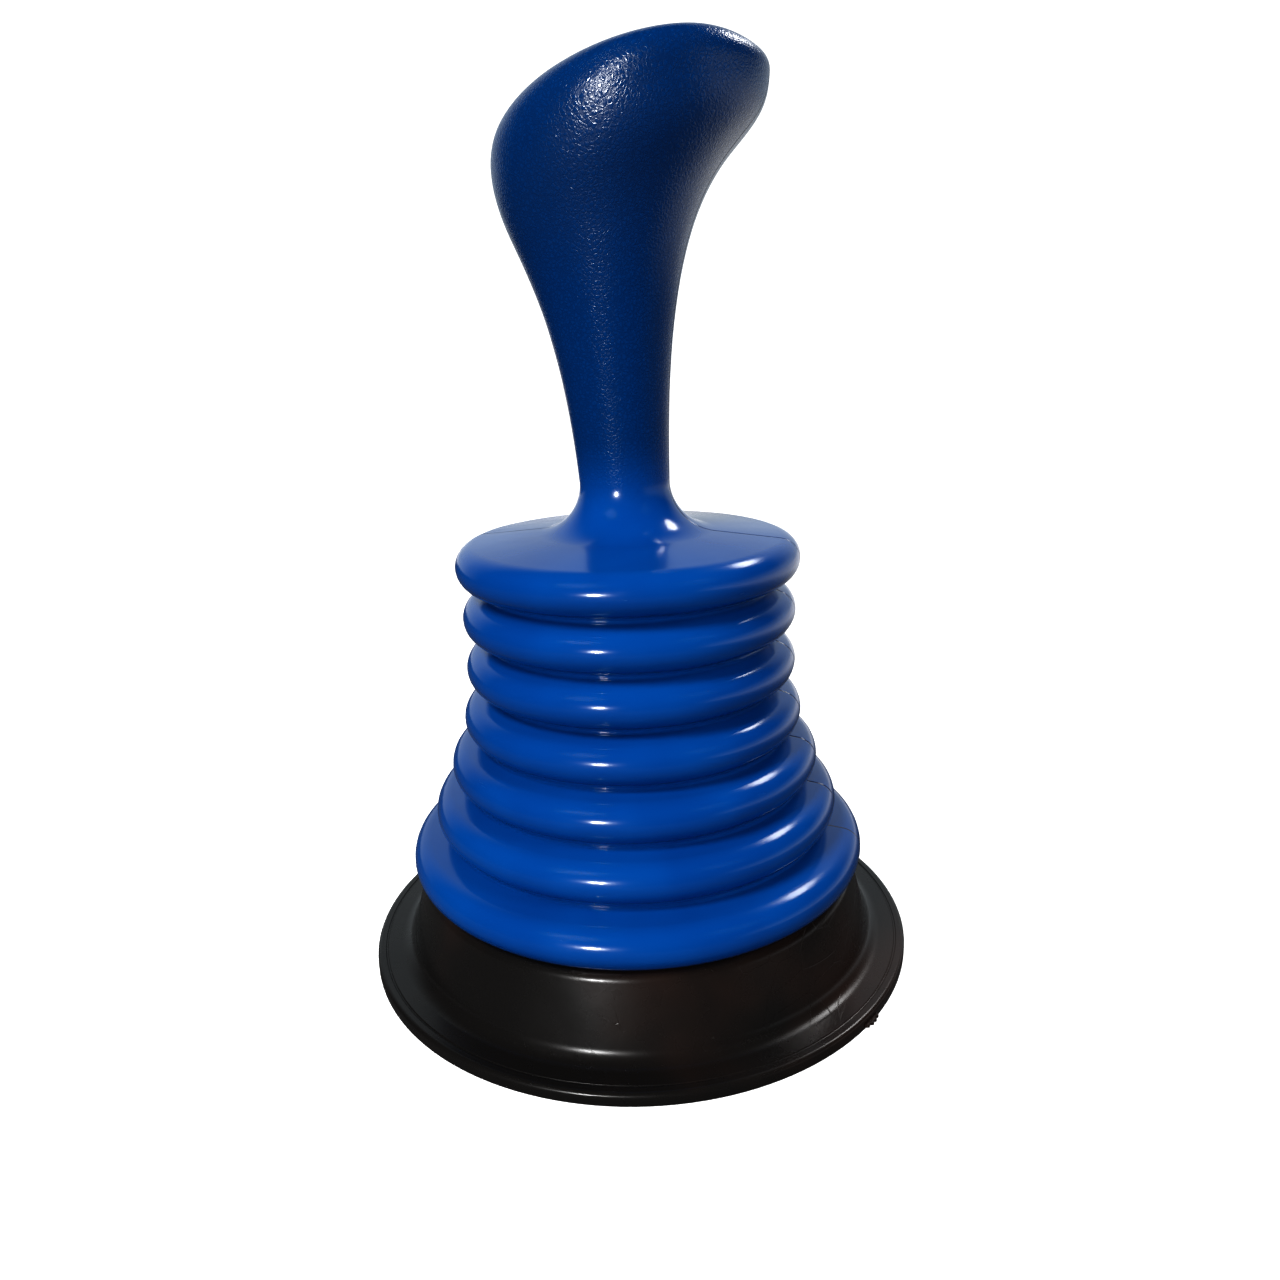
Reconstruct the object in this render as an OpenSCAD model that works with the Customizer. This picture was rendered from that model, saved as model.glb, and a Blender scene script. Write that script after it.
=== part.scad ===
// Bellows plunger: a hollow blow-moulded handle and bellows in one length of
// plastic, with a soft rubber seat stretched over the collar at its foot.
// The moulding is cut at the root of every fold, so that each pleat can slide.
// Millimetres, +Z up, origin on the axis at the face the rim rests on.
// The mould parts on the XZ plane: the knob leans along X and is even in Y.

/* [Overall] */
// Height of the top of the knob above the floor
total_h = 212.8; // [205:0.2:235]
// Wall of the blow-moulded plastic
wall = 1.6; // [1:0.1:2]

/* [Bellows] */
// Outer radii of the crests, from the top plate's edge down to the base pleat
crest_r = [42, 41.1, 41.1, 42.6, 46.6, 51.5, 58.2];
// Half height of a crest's rounded edge
edge_r = 5.15; // [4.6:0.05:5.5]
// Height of the base pleat's crest above the floor
base_crest_z = 27.6; // [26.6:0.1:30]
// Spacing of the crests where the bellows widen towards the foot
cone_pitch = 12; // [11.6:0.1:13]
// Spacing of the crests in the straight upper bellows
barrel_pitch = 12.8; // [11.6:0.1:13.5]
// Depth of each fold below the smaller crest beside it, from the top down
fold_depth = [7.1, 7.1, 7.1, 6.1, 5.2, 5.2];

/* [Neck and plate] */
// Outer radius of the neck
neck_r = 10.9; // [9:0.1:13]
// Radius of the fillet between the neck and the plate
fillet_r = 12; // [8:0.5:13]
// Rise of the plate from its rounded edge to the fillet
plate_rise = 1.5; // [0.5:0.1:3]

/* [Knob] */
// Reach along -X of the knob's low shoulder
shoulder_x = 27.5; // [24:0.1:34]
// Height of the low shoulder above the floor
shoulder_z = 189.6; // [184:0.2:194]
// Reach along +X of the knob's high tip
tip_x = 34.2; // [28:0.1:38]
// Height of the high tip above the floor
tip_z = 206.7; // [201:0.1:209]
// Where along X the knob is highest
crown_x = 23; // [16:0.5:27]
// Thickness of the knob across the mould's parting plane
knob_t = 52; // [44:1:60]

/* [Rubber seat] */
// Outer radius of the seat's rim
rim_r = 70; // [67:0.5:76]
// Thickness of the rim's edge
rim_t = 2.4; // [1.6:0.1:3]
// Radius of the collar that the seat is stretched over
collar_r = 49.5; // [48:0.1:50.5]
// How far the collar's lip stands out to hold the seat
lip_out = 2.5; // [1.5:0.1:3]
// How far the seat's sleeve stands out past the centre of the base pleat's edge
sleeve_out = 3.4; // [2.5:0.1:4]

/* [Hidden] */
$fn = 96;

BLUE = [0.02, 0.24, 0.60];
BLACK = [0.09, 0.09, 0.09];

// Points of an arc, from angle a0 to angle a1.
ARC_STEP = 10;
function arc(c, r, a0, a1) =
    let(n = ceil(abs(a1 - a0) / ARC_STEP))
    [for (i = [0:n]) let(a = a0 + (a1 - a0) * i / n) c + r * [cos(a), sin(a)]];

// Crest k counts from 1, the plate's edge, to 7, the base pleat.
CRESTS = len(crest_r);
BARREL_CREST = 4;
function crest_z(k) = k >= BARREL_CREST
    ? base_crest_z + (CRESTS - k) * cone_pitch
    : crest_z(BARREL_CREST) + (BARREL_CREST - k) * barrel_pitch;
// Centre of the rounded edge of crest k.
function edge_c(k) = [crest_r[k - 1] - edge_r, crest_z(k)];
// Root of the fold below crest k, on the wall's outer face.
function root(k) = [min(crest_r[k - 1], crest_r[k]) - fold_depth[k - 1],
                    (crest_z(k) + crest_z(k + 1)) / 2];
// The same root on the wall's inner face.
function inner_root(k) = root(k) - [wall, 0];

// Each flank leaves the rounded edge at this angle and runs straight to a root.
FLANK_A = 75;
function edge(k, in, a0, a1) = arc(edge_c(k), edge_r - in, a0, a1);

plate_z = crest_z(1) + edge_r;
fillet_c = [neck_r + fillet_r, plate_z + plate_rise + fillet_r];
neck_z = fillet_c[1];

// The collar under the base pleat, and the lip at its foot.
collar_top = base_crest_z - edge_r;
collar_bore = collar_r - wall;
lip_z = 6.5;
lip_h = 2.5;

// ---- Shells of revolution, each one closed outline of its wall ----

module pleat(k) {
    color(BLUE) rotate_extrude() polygon(concat(
        [root(k - 1)], edge(k, 0, FLANK_A, -FLANK_A), [root(k)],
        [inner_root(k)], edge(k, wall, -FLANK_A, FLANK_A), [inner_root(k - 1)]));
}

// Rounded edge of the bellows' top, the plate and the fillet up to the neck.
module top_plate() {
    color(BLUE) rotate_extrude() polygon(concat(
        arc(fillet_c, fillet_r, 180, 270), edge(1, 0, 90, -FLANK_A), [root(1)],
        [inner_root(1)], edge(1, wall, -FLANK_A, 90),
        arc(fillet_c, fillet_r + wall, 270, 180)));
}

// Base pleat, the collar below it and the lip that holds the seat on.
module base_collar() {
    lip_r = collar_r + lip_out;
    bottom_edge = edge(CRESTS, 0, FLANK_A, -90);
    bottom_inner = edge(CRESTS, wall, -90, FLANK_A);
    color(BLUE) rotate_extrude() polygon(concat(
        [root(CRESTS - 1)], bottom_edge, [[collar_r, collar_top]],
        [[collar_r, lip_z + lip_h], [lip_r, lip_z + lip_h], [lip_r, lip_z]],
        [[collar_bore, lip_z], [collar_bore, collar_top + wall]],
        bottom_inner, [inner_root(CRESTS - 1)]));
}

// Rubber seat: a sleeve that grips the collar, leans outwards and flares to a thin rim.
module rubber_seat() {
    sleeve_r = edge_c(CRESTS)[0] + sleeve_out;
    lean = 15;
    shoulder_r = 3;
    shoulder_c = [sleeve_r - shoulder_r, collar_top - shoulder_r];
    flare_r = 4.2;
    flare_z = 7.7;
    drop = shoulder_c[1] - flare_z;
    flare_c = [shoulder_c[0] + (shoulder_r + flare_r + drop * sin(lean)) / cos(lean), flare_z];
    foot_w = 4;
    edge_round = 0.8;
    lip_r = collar_r + lip_out;
    color(BLACK) rotate_extrude() polygon(concat(
        [[collar_r, collar_top]],
        arc(shoulder_c, shoulder_r, 90, lean),
        arc(flare_c, flare_r, 180 + lean, 270),
        [[rim_r - edge_round, rim_t + edge_round], [rim_r, rim_t]],
        arc([rim_r - edge_round, edge_round], edge_round, 0, -90),
        [[rim_r - foot_w, 0], [collar_bore, lip_z - 3], [collar_bore, lip_z]],
        [[lip_r, lip_z], [lip_r, lip_z + lip_h], [collar_r, lip_z + lip_h]]));
}

// ---- Knob and neck ----
// The outline on the parting plane is two curves, one up each side, that meet
// at the crown. Each is a pair of cubic curves: neck to furthest reach, then
// furthest reach to crown. Rings of the shell join the two at equal steps.

function cubic(p, t) = pow(1 - t, 3) * p[0] + 3 * pow(1 - t, 2) * t * p[1]
                     + 3 * (1 - t) * t * t * p[2] + pow(t, 3) * p[3];

shoulder = [-shoulder_x, shoulder_z];
tip = [tip_x, tip_z];
crown = [crown_x, total_h];
LEFT = [[[-neck_r, neck_z], [-neck_r - 3.5, neck_z + 48], shoulder - [0, 16.5], shoulder],
        [shoulder, shoulder + [0, 22], crown - [5, 0], crown]];
RIGHT = [[[neck_r, neck_z], [neck_r - 0.7, neck_z + 81], tip - [0, 19], tip],
         [tip, tip + [0, 4], crown + [5, 0], crown]];
DEPTH = [[neck_r, neck_r + 3, knob_t / 2 - 4, knob_t / 2 - 0.5],
         [knob_t / 2 - 0.5, knob_t / 2 + 2, knob_t * 0.45, 0]];

// t runs from 0 at the neck to 2 at the crown.
function outline(side, t) = t < 1 ? cubic(side[0], t) : cubic(side[1], t - 1);
function grip_at(t, a) =
    let(l = outline(LEFT, t), r = outline(RIGHT, t), c = (l + r) / 2, u = (r - l) / 2)
    [c[0] + u[0] * cos(a), outline(DEPTH, t) * sin(a), c[1] + u[1] * cos(a)];
NUDGE = 0.01;
function grip_normal(t, a) =
    let(n = cross(grip_at(t, a + 1) - grip_at(t, a - 1),
                  grip_at(t + NUDGE, a) - grip_at(t - NUDGE, a)))
    n / norm(n);

RING_STEPS = 32;
LEVELS = 26;
LAST_T = 1.95;
// The foot ring of each face is a plain circle, so that it meets the plate.
function grip_ring(i, in) = [for (j = [0:RING_STEPS - 1])
    let(a = 360 * j / RING_STEPS, t = LAST_T * i / LEVELS)
    i == 0 ? [(neck_r - in) * cos(a), (neck_r - in) * sin(a), neck_z]
           : grip_at(t, a) - in * grip_normal(t, a)];
function grip_face(in) = [for (i = [0:LEVELS]) each grip_ring(i, in)];

module grip() {
    inner = (LEVELS + 1) * RING_STEPS;
    top = LEVELS * RING_STEPS;
    outer_pole = 2 * inner;
    inner_pole = outer_pole + 1;
    walls = [for (i = [0:LEVELS - 1], j = [0:RING_STEPS - 1])
        let(n = (j + 1) % RING_STEPS, a = i * RING_STEPS, b = a + RING_STEPS)
        each [[a + j, b + j, b + n, a + n],
              [inner + a + n, inner + b + n, inner + b + j, inner + a + j]]];
    ends = [for (j = [0:RING_STEPS - 1])
        let(n = (j + 1) % RING_STEPS)
        each [[j, n, inner + n, inner + j],
              [top + j, outer_pole, top + n],
              [inner + top + n, inner_pole, inner + top + j]]];
    color(BLUE) polyhedron(
        points = concat(grip_face(0), grip_face(wall),
                        [[crown_x, 0, total_h], [crown_x, 0, total_h - wall]]),
        faces = concat(walls, ends));
}

grip();
top_plate();
pleat(2);  // pleat_2
pleat(3);  // pleat_3
pleat(4);  // pleat_4
pleat(5);  // pleat_5
pleat(6);  // pleat_6
base_collar();
rubber_seat();
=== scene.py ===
"""Bellows plunger: blue blow-moulded handle and bellows on a black rubber seat."""

import math

import bmesh
import bpy
from mathutils import Matrix, Vector, noise


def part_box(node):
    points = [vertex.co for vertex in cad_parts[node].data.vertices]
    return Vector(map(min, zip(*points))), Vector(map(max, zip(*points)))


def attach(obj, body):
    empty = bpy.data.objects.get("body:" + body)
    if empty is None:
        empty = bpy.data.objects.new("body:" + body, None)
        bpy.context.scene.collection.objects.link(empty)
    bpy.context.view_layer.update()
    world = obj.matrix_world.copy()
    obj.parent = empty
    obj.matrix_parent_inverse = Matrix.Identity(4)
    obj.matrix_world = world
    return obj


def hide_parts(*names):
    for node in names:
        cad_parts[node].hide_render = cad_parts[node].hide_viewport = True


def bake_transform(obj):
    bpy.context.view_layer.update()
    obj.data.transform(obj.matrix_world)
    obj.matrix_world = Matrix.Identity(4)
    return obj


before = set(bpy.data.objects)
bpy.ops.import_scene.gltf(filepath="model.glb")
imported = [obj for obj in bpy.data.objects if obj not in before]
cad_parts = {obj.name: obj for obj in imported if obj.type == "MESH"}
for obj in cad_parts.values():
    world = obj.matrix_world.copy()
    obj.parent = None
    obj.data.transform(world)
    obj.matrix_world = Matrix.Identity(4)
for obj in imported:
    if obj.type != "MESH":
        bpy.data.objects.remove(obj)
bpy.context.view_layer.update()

MM = 0.001

# ---------------------------------------------------------------- sizes
# Radii and heights come from the CAD nodes' boxes; the rest repeats the design's own sizes.
PLEATS = ["pleat_2", "pleat_3", "pleat_4", "pleat_5", "pleat_6"]
STACK = ["top_plate"] + PLEATS + ["base_collar"]
WALL = 1.6 * MM
EDGE_R = 5.15 * MM
FOLD_DEPTH = [depth * MM for depth in (7.1, 7.1, 7.1, 6.1, 5.2, 5.2)]
ROOT_ROUND = 0.7 * MM
FILLET_R = 12 * MM
NECK_R = 10.9 * MM
COLLAR_R = 49.5 * MM
LIP_H = 2.5 * MM
LIP_OUT = 2.5 * MM
SLEEVE_OUT = 3.4 * MM
SEAT_LEAN = 15
KNOB_T = 52 * MM
SHOULDER_Z = 189.6 * MM
TIP_Z = 206.7 * MM
CROWN_X = 23 * MM
CROWN_FLAT = 5 * MM

crest_r = [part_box(node)[1].x for node in STACK]
root_z = [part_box(node)[0].z for node in STACK[:-1]]
neck_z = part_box("grip")[0].z
total_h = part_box("grip")[1].z
collar_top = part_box("rubber_seat")[1].z
lip_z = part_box("base_collar")[0].z
rim_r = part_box("rubber_seat")[1].x
tip_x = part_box("grip")[1].x
shoulder_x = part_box("grip")[0].x


def crest_heights():
    """Crest heights from the top down: each fold's root is midway between its two crests."""
    heights = [collar_top + EDGE_R]
    for z in reversed(root_z):
        heights.insert(0, 2 * z - heights[0])
    return heights


crest_z = crest_heights()


# ---------------------------------------------------------------- outlines, as (radius, height)
ARC_STEPS = 14
ROOT_STEPS = 6


def arc(centre, radius, start, end, steps):
    """Points of an arc from one angle to another, in degrees."""
    points = []
    for i in range(steps + 1):
        a = math.radians(start + (end - start) * i / steps)
        points.append((centre[0] + radius * math.cos(a), centre[1] + radius * math.sin(a)))
    return points


def edge_centre(k):
    """Centre of the rounded edge of crest k, counted from 0 at the top plate."""
    return (crest_r[k] - EDGE_R, crest_z[k])


def root_point(k):
    """Root of the fold below crest k."""
    return (min(crest_r[k], crest_r[k + 1]) - FOLD_DEPTH[k], root_z[k])


def tangent_angle(k, point, side):
    """Angle on the edge of crest k where the straight flank to a root leaves it.

    side is 1 for the root above the crest and -1 for the one below."""
    centre = edge_centre(k)
    dx, dz = point[0] - centre[0], point[1] - centre[1]
    away = math.degrees(math.atan2(dz, dx))
    opening = math.degrees(math.acos(min(1, EDGE_R / math.hypot(dx, dz))))
    return away - side * opening


def crest_curve(k, start, end):
    return arc(edge_centre(k), EDGE_R, start, end, ARC_STEPS)


def rounded(before, corner, after, radius, steps):
    """The corner between two straight runs, as an arc that touches both."""
    corner = Vector(corner)
    a = (Vector(before) - corner).normalized()
    b = (Vector(after) - corner).normalized()
    half = a.angle(b) / 2
    start = corner + a * (radius / math.tan(half))
    end = corner + b * (radius / math.tan(half))
    centre = corner + (a + b).normalized() * (radius / math.sin(half))
    spokes = [(start.lerp(end, i / steps) - centre).normalized() for i in range(steps + 1)]
    return [tuple(centre + spoke * radius) for spoke in spokes]


def root_halves(k):
    """Rounded root of the fold below crest k, as its upper and its lower half."""
    root = root_point(k)
    above = crest_curve(k, 0, tangent_angle(k, root, -1))[-1]
    below = crest_curve(k + 1, 0, tangent_angle(k + 1, root, 1))[-1]
    curve = rounded(above, root, below, ROOT_ROUND, ROOT_STEPS)
    middle = ROOT_STEPS // 2
    return curve[: middle + 1], curve[middle:]


def bellows_outline():
    """Outer face of the folding stretch, from the root below the plate to the lowest root."""
    points = list(root_halves(0)[1])
    for k in range(1, len(STACK) - 1):
        start = tangent_angle(k, root_point(k - 1), 1)
        end = tangent_angle(k, root_point(k), -1)
        upper, lower = root_halves(k)
        points += crest_curve(k, start, end) + upper
        if k < len(STACK) - 2:
            points += lower[1:]
    return points


def plate_outline():
    """Outer face from the root below the plate's edge up to the foot of the neck."""
    fillet = (NECK_R + FILLET_R, neck_z)
    fall = neck_z - FILLET_R - crest_z[0] - EDGE_R
    slope = math.degrees(math.atan2(fall, edge_centre(0)[0] - fillet[0]))
    end = tangent_angle(0, root_point(0), -1)
    down = (arc(fillet, FILLET_R, 180, 270 - slope, 18)
            + crest_curve(0, 90 - slope, end) + root_halves(0)[0])
    return down[::-1]


def base_outline():
    """Closed outline of the base pleat, the collar and the lip."""
    last = len(STACK) - 1
    start = tangent_angle(last, root_point(last - 1), 1)
    centre = edge_centre(last)
    root = root_halves(last - 1)[1]
    outer = root + crest_curve(last, start, -90)
    collar = [(COLLAR_R, collar_top), (COLLAR_R, lip_z + LIP_H),
              (COLLAR_R + LIP_OUT, lip_z + LIP_H), (COLLAR_R + LIP_OUT, lip_z),
              (COLLAR_R - WALL, lip_z), (COLLAR_R - WALL, collar_top + WALL)]
    inner = arc(centre, EDGE_R - WALL, -90, start, ARC_STEPS)
    return outer + collar + inner + [(root[0][0] - WALL, root[0][1])]


def seat_outline():
    """Closed outline of the rubber seat: sleeve, flare, beaded rim and the lip it grips."""
    lean = math.radians(SEAT_LEAN)
    shoulder_r = 3 * MM
    shoulder = (edge_centre(len(STACK) - 1)[0] + SLEEVE_OUT - shoulder_r, collar_top - shoulder_r)
    flare_r = 4.2 * MM
    flare_z = 7.7 * MM
    spread = shoulder_r + flare_r + (shoulder[1] - flare_z) * math.sin(lean)
    flare = (shoulder[0] + spread / math.cos(lean), flare_z)
    bead_r = 1.05 * MM
    bead = (rim_r - bead_r, 2.35 * MM)
    groove_r = 0.35 * MM
    groove = (bead[0] - 1.35 * MM, 3.55 * MM)
    edge_round = 0.8 * MM
    foot_w = 4 * MM
    lip_r = COLLAR_R + LIP_OUT
    bore_r = COLLAR_R - WALL
    return ([(COLLAR_R, collar_top)]
            + arc(shoulder, shoulder_r, 90, SEAT_LEAN, 8)
            + arc(flare, flare_r, 180 + SEAT_LEAN, 268, 18)
            + arc(groove, groove_r, 200, 340, 6)
            + arc(bead, bead_r, 100, 0, 8)
            + arc((rim_r - edge_round, edge_round), edge_round, 0, -90, 6)
            + [(rim_r - foot_w, 0), (bore_r, lip_z - 3 * MM), (bore_r, lip_z),
               (lip_r, lip_z), (lip_r, lip_z + LIP_H), (COLLAR_R, lip_z + LIP_H)])


# ---------------------------------------------------------------- knob and neck
# Two curves on the parting plane, one up each side, meet at the crown; a ring joins them
# at each step. A third curve gives the half thickness across the plane.
CROWN = Vector((CROWN_X, total_h))


def knob_sides():
    """The three curves, each a pair of joined cubics with four control points."""
    shoulder = Vector((shoulder_x, SHOULDER_Z))
    tip = Vector((tip_x, TIP_Z))
    flat = Vector((CROWN_FLAT, 0))
    left = [[Vector((-NECK_R, neck_z)), Vector((-NECK_R - 3.5 * MM, neck_z + 48 * MM)),
             shoulder - Vector((0, 16.5 * MM)), shoulder],
            [shoulder, shoulder + Vector((0, 22 * MM)), CROWN - flat, CROWN]]
    right = [[Vector((NECK_R, neck_z)), Vector((NECK_R - 0.7 * MM, neck_z + 81 * MM)),
              tip - Vector((0, 19 * MM)), tip],
             [tip, tip + Vector((0, 4 * MM)), CROWN + flat, CROWN]]
    depth = [[NECK_R, NECK_R + 3 * MM, KNOB_T / 2 - 4 * MM, KNOB_T / 2 - 0.5 * MM],
             [KNOB_T / 2 - 0.5 * MM, KNOB_T / 2 + 2 * MM, KNOB_T * 0.45, 0]]
    return left, right, depth


LEFT, RIGHT, DEPTH = knob_sides()


def cubic(p, t):
    """A point of the cubic with the control points p, for t from 0 to 1."""
    s = 1 - t
    return p[0] * s ** 3 + p[1] * (3 * s * s * t) + p[2] * (3 * s * t * t) + p[3] * t ** 3


def along(curve, t):
    """A point of a pair of joined cubics, for t from 0 to 2."""
    return cubic(curve[0], t) if t < 1 else cubic(curve[1], t - 1)


def knob_point(t, a):
    """A point of the knob's skin, t from 0 at the neck to 2 at the crown."""
    left, right = along(LEFT, t), along(RIGHT, t)
    centre, half = (left + right) / 2, (right - left) / 2
    x, z = centre + half * math.cos(a)
    return Vector((x, along(DEPTH, t) * math.sin(a), z))


# ---------------------------------------------------------------- meshes
COLUMNS = 140
NEAR_SEAM = [math.radians(a) for a in (3.2, 5.5)]
SEAM_HALF = 0.22 * MM
SEAM_FOOT = 0.5 * MM
SEAM_DEPTH = 0.13 * MM


def column_angles():
    """Each column of a ring as (angle, offset): the offset is a length along the ring."""
    columns = []
    first, last = NEAR_SEAM[-1], math.pi - NEAR_SEAM[-1]
    regular = COLUMNS // 2
    for side in (0, math.pi):
        columns += [(side, d) for d in (0, SEAM_HALF, SEAM_FOOT)]
        columns += [(side + a, 0) for a in NEAR_SEAM]
        columns += [(side + first + (last - first) * i / regular, 0) for i in range(1, regular)]
        columns += [(side + math.pi - a, 0) for a in reversed(NEAR_SEAM)]
        columns += [(side + math.pi, -d) for d in (SEAM_FOOT, SEAM_HALF)]
    return columns


RING = column_angles()


def seam_dent(column):
    """How far the mould's parting line sinks into the skin at this column."""
    angle, offset = column
    on_line = offset == 0 and angle in (0, math.pi)
    return SEAM_DEPTH if on_line else 0


def unevenness(p):
    """The small waviness that blow-moulded plastic has: a long wave and a short one."""
    long_wave = 0.10 * MM * noise.noise(p * 55)
    short_wave = 0.05 * MM * noise.noise(p * 140 + Vector((7, 3, 1)))
    return long_wave + short_wave


def outline_normals(points):
    """Normals of an outline, on the right-hand side of its direction of travel."""
    normals = []
    for i, p in enumerate(points):
        before = Vector(points[max(i - 1, 0)])
        after = Vector(points[min(i + 1, len(points) - 1)])
        d = (after - before).normalized()
        normals.append(Vector((d.y, -d.x)))
    return normals


def spun_ring(point, normal, inset, moulded=True):
    """One ring of a surface of revolution; a moulded one has waviness and the parting line."""
    ring = []
    for column in RING:
        a = column[0] + column[1] / max(point[0], MM)
        skin = Vector((point[0] * math.cos(a), point[0] * math.sin(a), point[1]))
        out = Vector((normal[0] * math.cos(a), normal[0] * math.sin(a), normal[1]))
        shift = -inset
        if moulded:
            shift += unevenness(skin)
        if moulded and inset == 0:
            shift -= seam_dent(column)
        ring.append(skin + out * shift)
    return ring


NUDGE = 0.01
TOP_T = 1.999


def knob_ring(t, inset):
    """One ring of the knob, offset inwards along the skin's own normal."""
    ring = []
    for column in RING:
        a = column[0] + column[1] / max(along(DEPTH, t), MM)
        p = knob_point(t, a)
        across = knob_point(t, a + NUDGE) - knob_point(t, a - NUDGE)
        up = knob_point(min(t + NUDGE, TOP_T), a) - knob_point(max(t - NUDGE, 0), a)
        out = across.cross(up).normalized()
        shift = unevenness(p) - inset
        if inset == 0:
            shift -= seam_dent(column)
        ring.append(p + out * shift)
    return ring


def placed(name, data):
    """A new object in the scene that holds the data."""
    thing = bpy.data.objects.new(name, data)
    bpy.context.scene.collection.objects.link(thing)
    return thing


def skinned(name, rings, closed=False, poles=()):
    """A mesh from rings of equal length. poles are end points, at the first or the last ring."""
    n = len(rings[0])
    verts = [p for ring in rings for p in ring]
    faces = []
    count = len(rings)
    for i in range(count if closed else count - 1):
        a, b = i * n, ((i + 1) % count) * n
        faces += [(a + j, a + (j + 1) % n, b + (j + 1) % n, b + j) for j in range(n)]
    for ring_index, pole in poles:
        verts.append(pole)
        a, tip = ring_index * n, len(verts) - 1
        faces += [(a + j, a + (j + 1) % n, tip) for j in range(n)]
    mesh = bpy.data.meshes.new(name)
    mesh.from_pydata([tuple(v) for v in verts], [], faces)
    mesh.validate()
    piece = placed(name, mesh)
    tidy_normals(piece)
    return piece


SHARP_ANGLE = math.radians(38)


def tidy_normals(piece):
    """Faces outwards, smooth shading, sharp where the surface really turns a corner."""
    bm = bmesh.new()
    bm.from_mesh(piece.data)
    bmesh.ops.recalc_face_normals(bm, faces=bm.faces)
    for face in bm.faces:
        face.smooth = True
    for edge in bm.edges:
        edge.smooth = edge.calc_face_angle(0) < SHARP_ANGLE
    bm.to_mesh(piece.data)
    bm.free()


def shell_rings(points):
    """Outer rings of an open outline, then its inner rings back again, as one closed loop."""
    normals = outline_normals(points)
    outer = [spun_ring(p, n, 0) for p, n in zip(points, normals)]
    inner = [spun_ring(p, n, WALL) for p, n in zip(points, normals)]
    return outer + inner[::-1]


def make_bellows():
    """The folding stretch between the plate and the base pleat, in one hollow shell."""
    points = bellows_outline()[::-1]
    piece = skinned("bellows", shell_rings(points), closed=True)
    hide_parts(*PLEATS)
    return piece


KNOB_LEVELS = 84
KNOB_LAST_T = 1.97


def make_handle():
    """Knob, neck, fillet and plate in one hollow shell, down to the first fold."""
    points = plate_outline()
    normals = outline_normals(points)
    normals[-1] = Vector((1, 0))
    levels = [KNOB_LAST_T * i / KNOB_LEVELS for i in range(1, KNOB_LEVELS + 1)]
    outer = [spun_ring(p, n, 0) for p, n in zip(points, normals)]
    outer += [knob_ring(t, 0) for t in levels]
    inner = [spun_ring(p, n, WALL) for p, n in zip(points, normals)]
    inner += [knob_ring(t, WALL) for t in levels[::2]]
    rings = inner[::-1] + outer
    crown = Vector((CROWN.x, 0, CROWN.y))
    poles = [(0, crown - Vector((0, 0, WALL))), (len(rings) - 1, crown)]
    piece = skinned("handle", rings, poles=poles)
    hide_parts("grip", "top_plate")
    return piece


def closed_spin(name, outline):
    """A solid ring spun from a closed outline, even all round."""
    loop = outline + outline[:1]
    normals = outline_normals(loop)
    rings = [spun_ring(p, n, 0, moulded=False) for p, n in zip(outline, normals)]
    return skinned(name, rings, closed=True)


def make_base():
    piece = closed_spin("base_pleat", base_outline())
    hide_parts("base_collar")
    return piece


def make_seat():
    piece = closed_spin("seat_ring", seat_outline())
    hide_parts("rubber_seat")
    return piece


FLASH_START = math.radians(-30)
FLASH_STEP = math.radians(0.6)
FLASH_REACH = [reach * MM for reach in (0.1, 0.8, 0.5, 1.1, 0.7, 1.0, 0.4, 0.7, 0.1)]
FLASH_LOW, FLASH_HIGH = 0.9 * MM, 1.6 * MM


def make_flash():
    """The ragged tab of moulding flash left on the rim."""
    mesh = bpy.data.meshes.new("rim_flash")
    root = rim_r - 0.5 * MM
    verts = []
    for i, reach in enumerate(FLASH_REACH):
        a = FLASH_START + i * FLASH_STEP
        for r, z in ((root, FLASH_LOW), (rim_r + reach, FLASH_LOW),
                     (rim_r + reach, FLASH_HIGH), (root, FLASH_HIGH)):
            verts.append((r * math.cos(a), r * math.sin(a), z))
    last = 4 * (len(FLASH_REACH) - 1)
    faces = [(3, 2, 1, 0), (last, last + 1, last + 2, last + 3)]
    for a in range(0, last, 4):
        faces += [(a + k, a + (k + 1) % 4, a + 4 + (k + 1) % 4, a + 4 + k) for k in range(4)]
    mesh.from_pydata(verts, [], faces)
    piece = placed("rim_flash", mesh)
    tidy_normals(piece)
    return piece


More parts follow.
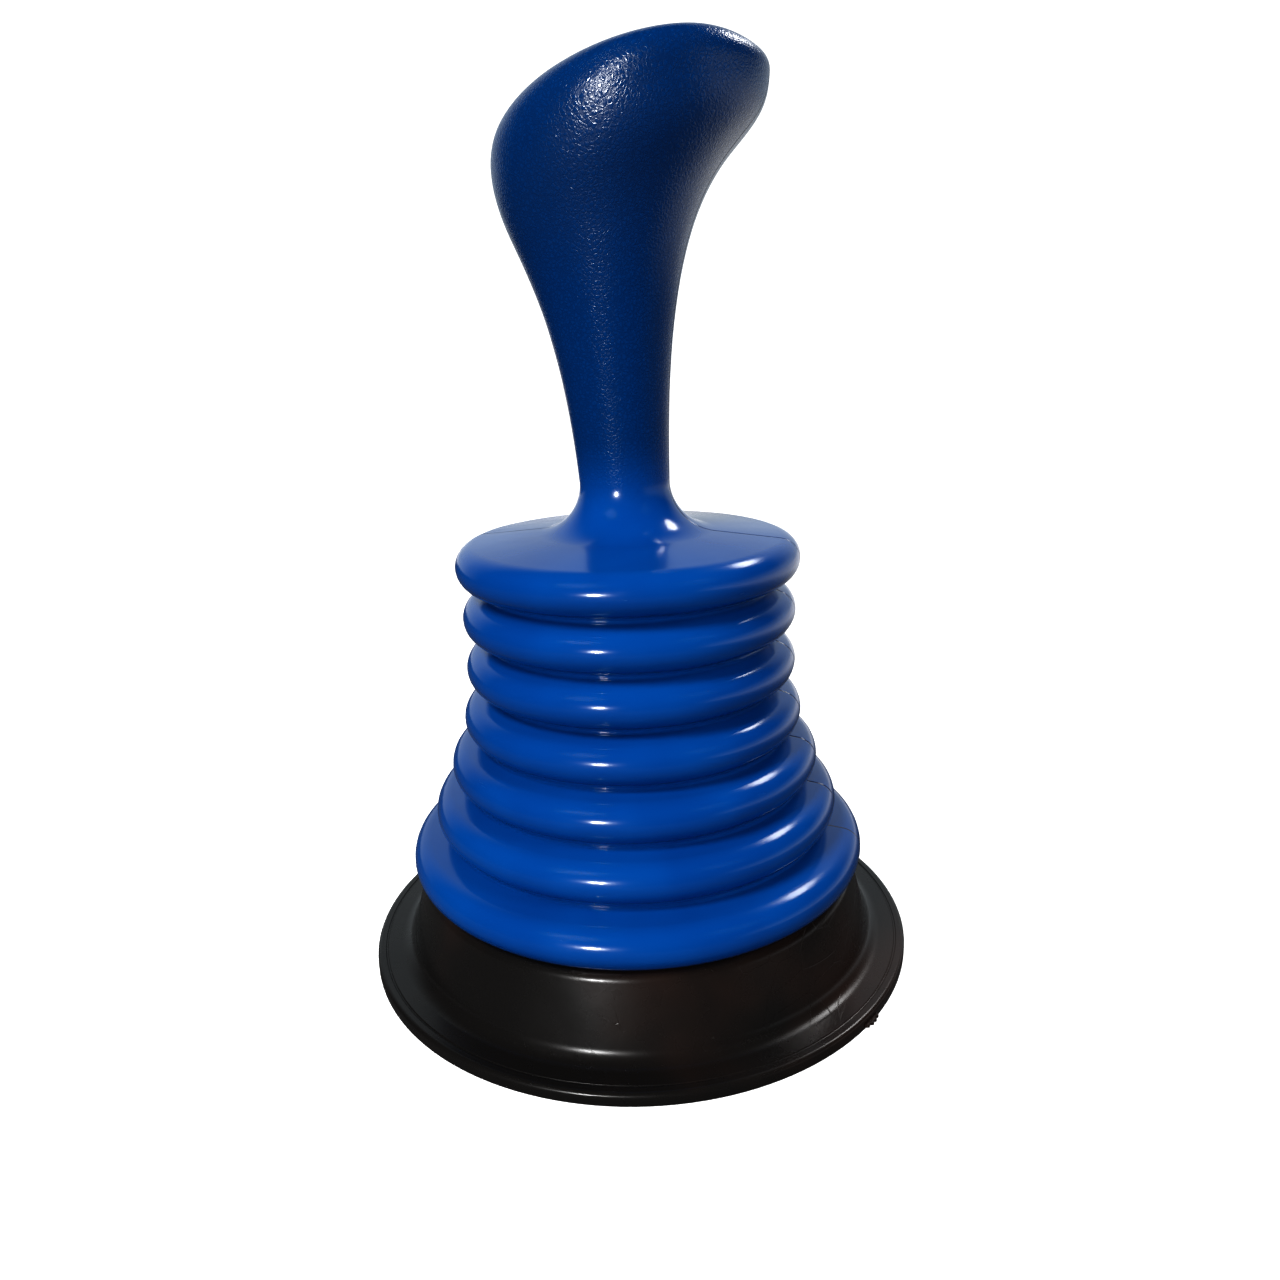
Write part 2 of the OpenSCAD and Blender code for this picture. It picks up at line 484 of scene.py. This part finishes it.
# ---------------------------------------------------------------- materials
class Nodes:
    """Short calls for building the node tree of a material or of the world."""

    def __init__(self, owner, shader="Principled BSDF", coordinates="Object"):
        owner.use_nodes = True
        self.tree = owner.node_tree
        self.shader = self.tree.nodes[shader]
        self.place = self.add("ShaderNodeTexCoord").outputs[coordinates]

    def add(self, kind, **values):
        node = self.tree.nodes.new(kind)
        for key, value in values.items():
            setattr(node, key, value)
        return node

    def link(self, source, target):
        self.tree.links.new(source, target)

    def put(self, value, socket):
        """Gives a socket a number, a colour or another node's output."""
        if isinstance(value, (int, float)):
            socket.default_value = value
        elif isinstance(value, tuple):
            socket.default_value = (*value, 1)
        else:
            self.link(value, socket)

    def set(self, name, value):
        self.put(value, self.shader.inputs[name])

    def stretched(self, vector, stretch):
        if stretch is None:
            return vector
        mapping = self.add("ShaderNodeMapping")
        mapping.inputs["Scale"].default_value = stretch
        self.link(vector, mapping.inputs["Vector"])
        return mapping.outputs["Vector"]

    def noise(self, scale, detail=3, roughness=0.5, stretch=None, output="Fac"):
        node = self.add("ShaderNodeTexNoise")
        node.inputs["Scale"].default_value = scale
        node.inputs["Detail"].default_value = detail
        node.inputs["Roughness"].default_value = roughness
        self.link(self.stretched(self.place, stretch), node.inputs["Vector"])
        return node.outputs[output]

    def cells(self, scale, feature="F1", vector=None, stretch=None):
        node = self.add("ShaderNodeTexVoronoi", feature=feature)
        node.inputs["Scale"].default_value = scale
        self.link(self.stretched(vector or self.place, stretch), node.inputs["Vector"])
        return node.outputs["Distance"]

    def math(self, operation, a, b=0):
        node = self.add("ShaderNodeMath", operation=operation)
        self.put(a, node.inputs[0])
        self.put(b, node.inputs[1])
        return node.outputs["Value"]

    def span(self, value, low, high, to_low=0.0, to_high=1.0, smooth=True):
        """value from low..high carried to to_low..to_high."""
        node = self.add("ShaderNodeMapRange", clamp=True)
        node.interpolation_type = "SMOOTHSTEP" if smooth else "LINEAR"
        self.link(value, node.inputs["Value"])
        node.inputs["From Min"].default_value = low
        node.inputs["From Max"].default_value = high
        node.inputs["To Min"].default_value = to_low
        node.inputs["To Max"].default_value = to_high
        return node.outputs["Result"]

    def mix(self, share, a, b):
        """Colour a where share is 0, b where it is 1."""
        node = self.add("ShaderNodeMix", data_type="RGBA")
        self.put(share, node.inputs["Factor"])
        self.put(a, node.inputs[6])
        self.put(b, node.inputs[7])
        return node.outputs[2]

    def between(self, share, a, b):
        """Number a where share is 0, b where it is 1."""
        node = self.add("ShaderNodeMix", data_type="FLOAT")
        self.put(share, node.inputs[0])
        self.put(a, node.inputs[2])
        self.put(b, node.inputs[3])
        return node.outputs[0]

    def bump(self, height, distance, normal=None):
        node = self.add("ShaderNodeBump")
        node.inputs["Distance"].default_value = distance
        self.link(height, node.inputs["Height"])
        if normal is not None:
            self.link(normal, node.inputs["Normal"])
        return node.outputs["Normal"]

    def xyz(self):
        node = self.add("ShaderNodeSeparateXYZ")
        self.link(self.place, node.inputs["Vector"])
        return node.outputs


PLASTIC_IOR = 1.5
BLUE = (0.0003, 0.058, 0.240)
BLUE_DEEP = (0.0003, 0.050, 0.215)
# Grip colours are painted shade: the etched grain's micro-shadow, deepest in its creases.
GRIP_SHADED_BLUE = (0.0003, 0.033, 0.125)
GRIP_CREASE_SHADE = (0.0003, 0.026, 0.100)
# Painted shade of the parting line's shallow groove.
SEAM_SHADE = (0.0005, 0.010, 0.055)
GRAIN_FOOT = neck_z - 2 * MM
GRAIN_FADE = 2.5 * MM
PLASTIC_SHINE = 0.42
NECK_SHINE = 0.07
KNOB_SHINE = 0.46
KNOB_SHINE_LOW, KNOB_SHINE_HIGH = 158 * MM, 188 * MM


def moulded_skin(n):
    """Colour, roughness and normal of the smooth plastic: clouds, scuffs, ripple and fine peel."""
    cloudy = n.noise(38, detail=2)
    colour = n.mix(n.span(cloudy, 0.35, 0.65), BLUE_DEEP, BLUE)
    scuffs = n.span(n.noise(90, detail=4, stretch=(1, 1, 9)), 0.62, 0.78)
    roughness = n.span(n.noise(60, detail=3), 0.3, 0.7, 0.13, 0.20, smooth=False)
    roughness = n.math("ADD", roughness, n.math("MULTIPLY", scuffs, 0.12))
    normal = n.bump(n.noise(190, detail=1), 0.02 * MM)
    normal = n.bump(n.noise(1500, detail=2), 0.006 * MM, normal=normal)
    return colour, roughness, normal


def parting_line(n, y, z):
    """1 on the mould's parting line and 0 beside it; the line gets painted shade for its groove.
    The line is wider on the knob.
    """
    half = n.span(z, neck_z, neck_z + 20 * MM, 0.42 * MM, 0.75 * MM)
    return n.span(n.math("DIVIDE", n.math("ABSOLUTE", y), half), 0.35, 1, 1, 0)


def leather_grain(n):
    """Height of the etched leather grain: pebbles between creases, bent by a noise."""
    bend = 1.1 * MM
    bent = n.add("ShaderNodeVectorMath", operation="MULTIPLY_ADD")
    n.link(n.noise(700, detail=2, output="Color"), bent.inputs[0])
    bent.inputs[1].default_value = (bend, bend, bend)
    n.link(n.place, bent.inputs[2])
    pebble = n.cells(1450, vector=bent.outputs[0], stretch=(1, 1, 0.6))
    creases = n.cells(1150, feature="DISTANCE_TO_EDGE", vector=bent.outputs[0])
    return n.math("SUBTRACT", n.span(creases, 0, 0.3), n.math("MULTIPLY", pebble, 0.7))


def etched_skin(n, z, skin):
    """The smooth skin with the grain laid over it, from just above the fillet up to the crown. The
    grip's colour is painted shade: darker overall for the grain's micro-shadow, darker still in
    its creases.
    """
    colour, roughness, normal = skin
    grain = leather_grain(n)
    edge_wobble = n.math("MULTIPLY", n.noise(400, detail=2), 1.5 * MM)
    height = n.math("SUBTRACT", z, edge_wobble)
    grip = n.span(height, GRAIN_FOOT, GRAIN_FOOT + GRAIN_FADE)
    # painted shade: the skin darkens from the foot of the neck up, and the grain's creases are
    # darker still
    painted_grip_shade = n.span(z, neck_z - 8 * MM, neck_z + 12 * MM)
    colour = n.mix(painted_grip_shade, colour, n.mix(n.span(grain, -0.2, 0.8), GRIP_CREASE_SHADE, GRIP_SHADED_BLUE))
    rough_grip = n.span(grain, -0.2, 0.8, 0.30, 0.16, smooth=False)
    roughness = n.between(grip, roughness, rough_grip)
    normal = n.bump(n.math("MULTIPLY", grain, grip), 0.030 * MM, normal=normal)
    return colour, roughness, normal


def grip_shine(n, z):
    """Full gloss on the fillet, a dull neck, and a glossy knob again."""
    neck = n.span(z, GRAIN_FOOT, GRAIN_FOOT + GRAIN_FADE, PLASTIC_SHINE, NECK_SHINE)
    knob = n.span(z, KNOB_SHINE_LOW, KNOB_SHINE_HIGH, NECK_SHINE, KNOB_SHINE)
    return n.math("MAXIMUM", neck, knob)


def blue_plastic(name, grained):
    """Semi-gloss polyethylene; on the handle an etched leather grain starts above the fillet."""
    material = bpy.data.materials.new(name)
    n = Nodes(material)
    y, z = n.xyz()[1:]
    skin = moulded_skin(n)
    shine = PLASTIC_SHINE
    if grained:
        skin = etched_skin(n, z, skin)
        shine = grip_shine(n, z)
    colour, roughness, normal = skin
    # the parting line is painted darker: painted shade of its groove
    n.set("Base Color", n.mix(parting_line(n, y, z), colour, SEAM_SHADE))
    n.set("Roughness", roughness)
    n.set("Normal", normal)
    n.set("IOR", PLASTIC_IOR)
    n.set("Specular IOR Level", shine)
    return material


RUBBER = (0.0100, 0.0093, 0.0090)
RUBBER_BROWN = (0.024, 0.0150, 0.0125)
RUBBER_DUST = (0.045, 0.043, 0.040)
RUBBER_IOR = 1.5
RUBBER_SHINE = 0.38


def black_rubber():
    """Satin black rubber with a brownish bloom, faint dust and handling scratches."""
    material = bpy.data.materials.new("black_rubber")
    n = Nodes(material)
    bloom = n.span(n.noise(22, detail=3), 0.45, 0.75)
    colour = n.mix(bloom, RUBBER, RUBBER_BROWN)
    dust = n.span(n.noise(900, detail=5, roughness=0.7), 0.66, 0.80, 0, 0.6)
    colour = n.mix(dust, colour, RUBBER_DUST)
    roughness = n.span(n.noise(70, detail=5), 0.3, 0.7, 0.23, 0.31, smooth=False)
    edges = n.cells(150, feature="DISTANCE_TO_EDGE", stretch=(1, 0.22, 1))
    rare = n.span(n.noise(28, detail=1), 0.60, 0.68)
    scratch = n.math("MULTIPLY", n.span(edges, 0.0, 0.012, 1, 0), rare)
    normal = n.bump(n.noise(620, detail=4), 0.012 * MM)
    normal = n.bump(n.math("MULTIPLY", scratch, -1), 0.03 * MM, normal=normal)
    n.set("Base Color", colour)
    n.set("Roughness", roughness)
    n.set("Normal", normal)
    n.set("IOR", RUBBER_IOR)
    n.set("Specular IOR Level", RUBBER_SHINE)
    return material


# ---------------------------------------------------------------- the object
handle = make_handle()
bellows = make_bellows()
base = make_base()
seat = make_seat()
flash = make_flash()

handle.data.materials.append(blue_plastic("blue_plastic_grained", grained=True))
smooth_blue = blue_plastic("blue_plastic", grained=False)
bellows.data.materials.append(smooth_blue)
base.data.materials.append(smooth_blue)
rubber = black_rubber()
seat.data.materials.append(rubber)
flash.data.materials.append(rubber)

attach(handle, "handle")
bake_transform(bellows)
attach(base, "seat")
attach(seat, "seat")
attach(flash, "seat")


# ---------------------------------------------------------------- floor, lights and camera
VIEW_TURN = math.radians(14)


def toward(azimuth, elevation, distance, height=0.08):
    """A place seen from the object: azimuth from the camera's side, positive to its right."""
    a = math.radians(azimuth) + VIEW_TURN
    e = math.radians(elevation)
    return Vector((math.sin(a) * math.cos(e), -math.cos(a) * math.cos(e), math.sin(e))) \
        * distance + Vector((0, 0, height))


FLOOR_HALF = 3.0
FLOOR_SEEN = (0.60, 0.60, 0.60)
FLOOR_GLOW = (0.70, 0.70, 0.70)
FLOOR_REFLECTED = (0.08, 0.08, 0.08)
FLOOR_SHEEN = 0.85
FLOOR_SHEEN_NEAR, FLOOR_SHEEN_FAR = 0.12, 0.45
FLOOR_SHEEN_TURN = math.radians(52) - VIEW_TURN


def make_floor():
    """A pale floor. Only its far part, behind the object on the right, throws much light back."""
    h = FLOOR_HALF
    mesh = bpy.data.meshes.new("floor")
    mesh.from_pydata([(-h, -h, 0), (h, -h, 0), (h, h, 0), (-h, h, 0)], [], [(0, 1, 2, 3)])
    floor = placed("floor", mesh)
    material = bpy.data.materials.new("pale_floor")
    n = Nodes(material)
    seen = n.add("ShaderNodeLightPath").outputs["Is Camera Ray"]
    n.set("Base Color", n.mix(seen, FLOOR_REFLECTED, FLOOR_SEEN))
    n.set("Roughness", 0.95)
    n.set("Specular IOR Level", 0.1)
    x, y = n.xyz()[:2]
    away = Vector((math.sin(FLOOR_SHEEN_TURN), math.cos(FLOOR_SHEEN_TURN)))
    distance = n.math("ADD", n.math("MULTIPLY", x, away.x), n.math("MULTIPLY", y, away.y))
    sheen = n.span(distance, FLOOR_SHEEN_NEAR, FLOOR_SHEEN_FAR, 0, FLOOR_SHEEN)
    n.set("Emission Color", n.mix(seen, sheen, FLOOR_GLOW))
    n.set("Emission Strength", 1.0)
    floor.data.materials.append(material)


AIM = Vector((0, 0, 0.08))


def area_light(name, place, size, power, shows=True):
    """An oval lamp aimed at the bellows. shows tells whether it is seen in reflections."""
    data = bpy.data.lights.new(name, "AREA")
    data.shape = "ELLIPSE"
    data.size, data.size_y = size
    data.energy = power
    light = placed(name, data)
    light.location = place
    light.rotation_euler = (AIM - place).to_track_quat("-Z", "Y").to_euler()
    light.visible_glossy = shows


def make_lights():
    """A small hard lamp for the bright points, two soft ones for the colour, one behind."""
    area_light("key_spot", toward(-21, 8, 0.75, 0.09), (0.036, 0.036), 3.0)
    area_light("front_fill", toward(-40, 47, 1.1), (0.40, 0.40), 10.0, shows=False)
    area_light("side_fill", toward(52, 38, 1.1), (0.40, 0.40), 3.2, shows=False)
    area_light("back_lamp", toward(126, 46, 1.2), (0.50, 0.20), 3.4)


WORLD_FRONT = 0.010
WORLD_BEHIND = 0.60
WORLD_RIGHT = 0.6
WORLD_SEEN = 0.93
WORLD_TINT = (0.86, 0.95, 1.0)
WHITE = (1.0, 1.0, 1.0)


def make_world():
    """Pale surroundings, bright behind the object and on its right, dim in front of it.

    The spans are in the parts of the direction looked in: x to the right, y away, z up."""
    world = bpy.data.worlds.new("studio")
    bpy.context.scene.world = world
    n = Nodes(world, "Background", "Generated")
    turned = n.add("ShaderNodeVectorRotate", rotation_type="Z_AXIS")
    turned.inputs["Angle"].default_value = -VIEW_TURN
    n.link(n.place, turned.inputs["Vector"])
    n.place = turned.outputs[0]
    x, y, z = n.xyz()
    behind = n.span(y, 0.3, 0.85, WORLD_FRONT, WORLD_BEHIND)
    right = n.span(x, 0.6, 0.9, 0, WORLD_RIGHT)
    below_top = n.span(z, 0.6, 0.98, 1.0, 0.1)
    near_horizon = n.span(z, 0.0, 0.3, 1.0, 0.0)
    glow = n.math("ADD", n.math("MULTIPLY", behind, below_top),
                  n.math("MULTIPLY", right, near_horizon))
    seen = n.add("ShaderNodeLightPath").outputs["Is Camera Ray"]
    n.set("Strength", n.between(seen, glow, WORLD_SEEN))
    n.set("Color", n.mix(seen, WORLD_TINT, WHITE))


CAMERA_BACK = 0.2402
CAMERA_UP = 0.1541
CAMERA_LENS = 28.0
CAMERA_DOWN = math.radians(16.46)
CAMERA_ROLL = math.radians(2.02)
CAMERA_SHIFT = (0.0078, -0.0080)


def make_camera():
    """Near the object and level with its neck, tipped down and rolled a little."""
    data = bpy.data.cameras.new("camera")
    data.lens = CAMERA_LENS
    data.sensor_width = 36
    data.clip_start = 0.01
    camera = placed("camera", data)
    camera.location = (CAMERA_BACK * math.sin(VIEW_TURN), -CAMERA_BACK * math.cos(VIEW_TURN),
                       CAMERA_UP)
    data.shift_x, data.shift_y = CAMERA_SHIFT
    sight = Vector((-math.sin(VIEW_TURN) * math.cos(CAMERA_DOWN),
                    math.cos(VIEW_TURN) * math.cos(CAMERA_DOWN), -math.sin(CAMERA_DOWN)))
    level = sight.to_track_quat("-Z", "Y").to_matrix()
    roll = Matrix.Rotation(-CAMERA_ROLL, 3, "Z")
    camera.rotation_euler = (level @ roll).to_euler()
    bpy.context.scene.camera = camera


make_floor()
make_lights()
make_world()
make_camera()
bpy.context.scene.view_settings.view_transform = "Standard"
bpy.context.scene.view_settings.look = "High Contrast"
